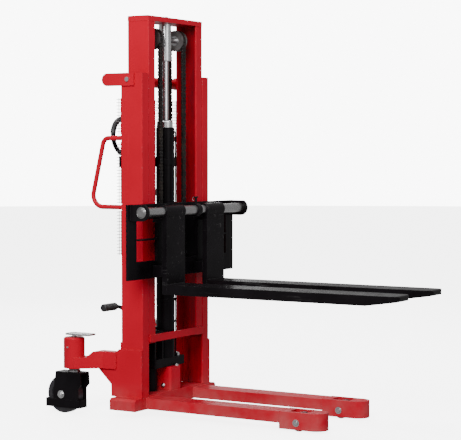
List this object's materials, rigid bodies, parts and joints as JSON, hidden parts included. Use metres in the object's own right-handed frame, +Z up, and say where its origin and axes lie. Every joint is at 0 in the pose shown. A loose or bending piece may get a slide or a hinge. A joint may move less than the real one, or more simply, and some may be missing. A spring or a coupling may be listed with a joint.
{
  "type": "walkie stacker",
  "caption": "Hand-pumped straddle stacker with a two-stage mast, chain-lifted fork carriage, base legs with load rollers and braked swivel casters.",
  "frame": {"origin": "on the floor, under the middle of the machine's box", "axes": "+Z up, +Y towards the operator, -Y towards the fork tips, +X the machine's left"},
  "size_m": [0.91, 1.783, 1.88],
  "materials": {
    "red_paint": "semi-gloss red machine enamel",
    "black_paint": "gloss black machine enamel",
    "bare_steel": "turned bare steel, lightly oiled",
    "zinc_plate": "bright zinc plated steel",
    "chrome_rod": "hard chrome, polished",
    "chain_steel": "oiled leaf chain steel",
    "cast_iron": "machined cast iron, greasy",
    "spring_steel": "blackened spring wire",
    "guard_wire": "dark coated wire",
    "grip_rubber": "moulded black rubber",
    "wheel_tread": "cast nylon, dark"
  },
  "bodies": {
    "chassis": {"outer_mast_left": "red_paint", "outer_mast_right": "red_paint", "mast_top_tie": "red_paint", "ear_bolts": "zinc_plate", "mast_cross_member": "black_paint", "push_handle_left": "red_paint", "push_handle_right": "red_paint", "mesh_guard": "guard_wire", "base_crossbeam": "red_paint", "side_reinforcements": "red_paint", "rear_base_plate": "red_paint", "leg_left": "red_paint", "leg_right": "red_paint", "load_roller_axles": "bare_steel", "rear_arm_left": "red_paint", "rear_arm_right": "red_paint", "lift_cylinder": "black_paint", "cylinder_gland": "zinc_plate", "oil_tank": "red_paint", "pump_barrel": "black_paint", "pump_block": "black_paint", "rocker_pin": "bare_steel", "pump_spring": "spring_steel", "rear_chains": "chain_steel"},
    "inner_mast": {"inner_mast_left": "red_paint", "inner_mast_right": "red_paint", "inner_top_beam": "red_paint", "inner_bottom_bar": "red_paint", "piston_rod": "chrome_rod", "rod_crosshead": "zinc_plate", "chain_axle": "bare_steel", "mast_roller_pins": "bare_steel", "front_chains": "chain_steel"},
    "chain_wheels": {"chain_wheel_left": "cast_iron", "chain_wheel_right": "cast_iron"},
    "upper_mast_rollers": {"mast_rollers_upper": "cast_iron"},
    "lower_mast_rollers": {"mast_rollers_lower": "cast_iron"},
    "carriage": {"carriage_frame": "black_paint", "carriage_nose_plates": "black_paint", "carriage_backbone": "black_paint", "carriage_roller_pins": "bare_steel", "fork_shaft": "bare_steel", "fork_stop_collar": "black_paint"},
    "upper_carriage_rollers": {"carriage_rollers_upper": "cast_iron"},
    "lower_carriage_rollers": {"carriage_rollers_lower": "cast_iron"},
    "left_fork": {"fork_left": "black_paint"},
    "right_fork": {"fork_right": "black_paint"},
    "left_load_roller": {"load_roller_left": "wheel_tread"},
    "right_load_roller": {"load_roller_right": "wheel_tread"},
    "left_caster": {"caster_fork_left": "black_paint"},
    "right_caster": {"caster_fork_right": "black_paint"},
    "left_caster_wheel": {"caster_wheel_left": "wheel_tread"},
    "right_caster_wheel": {"caster_wheel_right": "wheel_tread"},
    "left_brake_pedal": {"brake_pedal_left": "zinc_plate"},
    "right_brake_pedal": {"brake_pedal_right": "zinc_plate"},
    "pump_rocker": {"pump_rocker": "black_paint", "pump_tiller": "black_paint", "pedal_grip": "grip_rubber"},
    "pump_plunger": {"pump_plunger": "bare_steel"},
    "lowering_lever": {"lowering_lever": "black_paint"}
  },
  "joints": [
    {"name": "mast_lift", "type": "slide", "parent": "chassis", "child": "inner_mast", "axis": [0, 0, 1], "range_m": [-0.243, 0.66], "deforming": ["rear_chains"]},
    {"name": "carriage_lift", "type": "slide", "parent": "inner_mast", "child": "carriage", "axis": [0, 0, 1], "range_m": [-0.243, 0.66], "deforming": ["front_chains"]},
    {"name": "chain_wheel_turn", "type": "hinge", "parent": "inner_mast", "child": "chain_wheels", "pos_m": [0, 0.4595, 1.77], "axis": [1, 0, 0], "range_deg": [-960, 355]},
    {"name": "upper_mast_roller_turn", "type": "hinge", "parent": "inner_mast", "child": "upper_mast_rollers", "pos_m": [0, 0.4555, 0.69], "axis": [1, 0, 0], "range_deg": [-280, 760]},
    {"name": "lower_mast_roller_turn", "type": "hinge", "parent": "inner_mast", "child": "lower_mast_rollers", "pos_m": [0, 0.4555, 0.4], "axis": [1, 0, 0], "range_deg": [-760, 280]},
    {"name": "upper_carriage_roller_turn", "type": "hinge", "parent": "carriage", "child": "upper_carriage_rollers", "pos_m": [0, 0.4555, 0.94], "axis": [1, 0, 0], "range_deg": [-285, 775]},
    {"name": "lower_carriage_roller_turn", "type": "hinge", "parent": "carriage", "child": "lower_carriage_rollers", "pos_m": [0, 0.4555, 0.7], "axis": [1, 0, 0], "range_deg": [-775, 285]},
    {"name": "left_fork_slide", "type": "slide", "parent": "carriage", "child": "left_fork", "axis": [1, 0, 0], "range_m": [-0.045, 0.188]},
    {"name": "right_fork_slide", "type": "slide", "parent": "carriage", "child": "right_fork", "axis": [1, 0, 0], "range_m": [-0.157, 0.116]},
    {"name": "left_load_roller_spin", "type": "hinge", "parent": "chassis", "child": "left_load_roller", "pos_m": [0.202, -0.4025, 0.041], "axis": [1, 0, 0], "continuous": true},
    {"name": "left_caster_swivel", "type": "hinge", "parent": "chassis", "child": "left_caster", "pos_m": [0.35, 0.7435, 0.2], "axis": [0, 0, 1], "continuous": true},
    {"name": "left_caster_spin", "type": "hinge", "parent": "left_caster", "child": "left_caster_wheel", "pos_m": [0.35, 0.7955, 0.09], "axis": [1, 0, 0], "continuous": true},
    {"name": "left_brake_press", "type": "slide", "parent": "chassis", "child": "left_brake_pedal", "axis": [0, 0, -1], "range_m": [0, 0.01], "stiffness_N_per_m": 2500, "springref_m": -0.01},
    {"name": "right_load_roller_spin", "type": "hinge", "parent": "chassis", "child": "right_load_roller", "pos_m": [-0.202, -0.4025, 0.041], "axis": [1, 0, 0], "continuous": true},
    {"name": "right_caster_swivel", "type": "hinge", "parent": "chassis", "child": "right_caster", "pos_m": [-0.35, 0.7435, 0.2], "axis": [0, 0, 1], "continuous": true},
    {"name": "right_caster_spin", "type": "hinge", "parent": "right_caster", "child": "right_caster_wheel", "pos_m": [-0.35, 0.7955, 0.09], "axis": [1, 0, 0], "continuous": true},
    {"name": "right_brake_press", "type": "slide", "parent": "chassis", "child": "right_brake_pedal", "axis": [0, 0, -1], "range_m": [0, 0.01], "stiffness_N_per_m": 2500, "springref_m": -0.01},
    {"name": "pump_stroke", "type": "hinge", "parent": "chassis", "child": "pump_rocker", "pos_m": [-0.1, 0.4435, 0.372], "axis": [1, 0, 0], "range_deg": [-18, 0], "stiffness_Nm_per_rad": 60, "springref_deg": 22.92, "deforming": ["pump_spring"]},
    {"name": "plunger_travel", "type": "slide", "parent": "chassis", "child": "pump_plunger", "axis": [0, 0, -1], "range_m": [0, 0.0125]},
    {"name": "lowering_pull", "type": "hinge", "parent": "pump_rocker", "child": "lowering_lever", "pos_m": [-0.1, 0.60061, 1.10493], "axis": [1, 0, 0], "range_deg": [-12, 0], "stiffness_Nm_per_rad": 0.6, "springref_deg": 22.92}
  ],
  "couplings": [
    {"joint": "carriage_lift", "follows": "mast_lift", "ratio": 1},
    {"joint": "chain_wheel_turn", "follows": "mast_lift", "rad_per_m": -25},
    {"joint": "upper_mast_roller_turn", "follows": "mast_lift", "rad_per_m": 19.802},
    {"joint": "lower_mast_roller_turn", "follows": "mast_lift", "rad_per_m": -19.802},
    {"joint": "upper_carriage_roller_turn", "follows": "mast_lift", "rad_per_m": 20.202},
    {"joint": "lower_carriage_roller_turn", "follows": "mast_lift", "rad_per_m": -20.202},
    {"joint": "plunger_travel", "follows": "pump_stroke", "m_per_rad": -0.037}
  ]
}
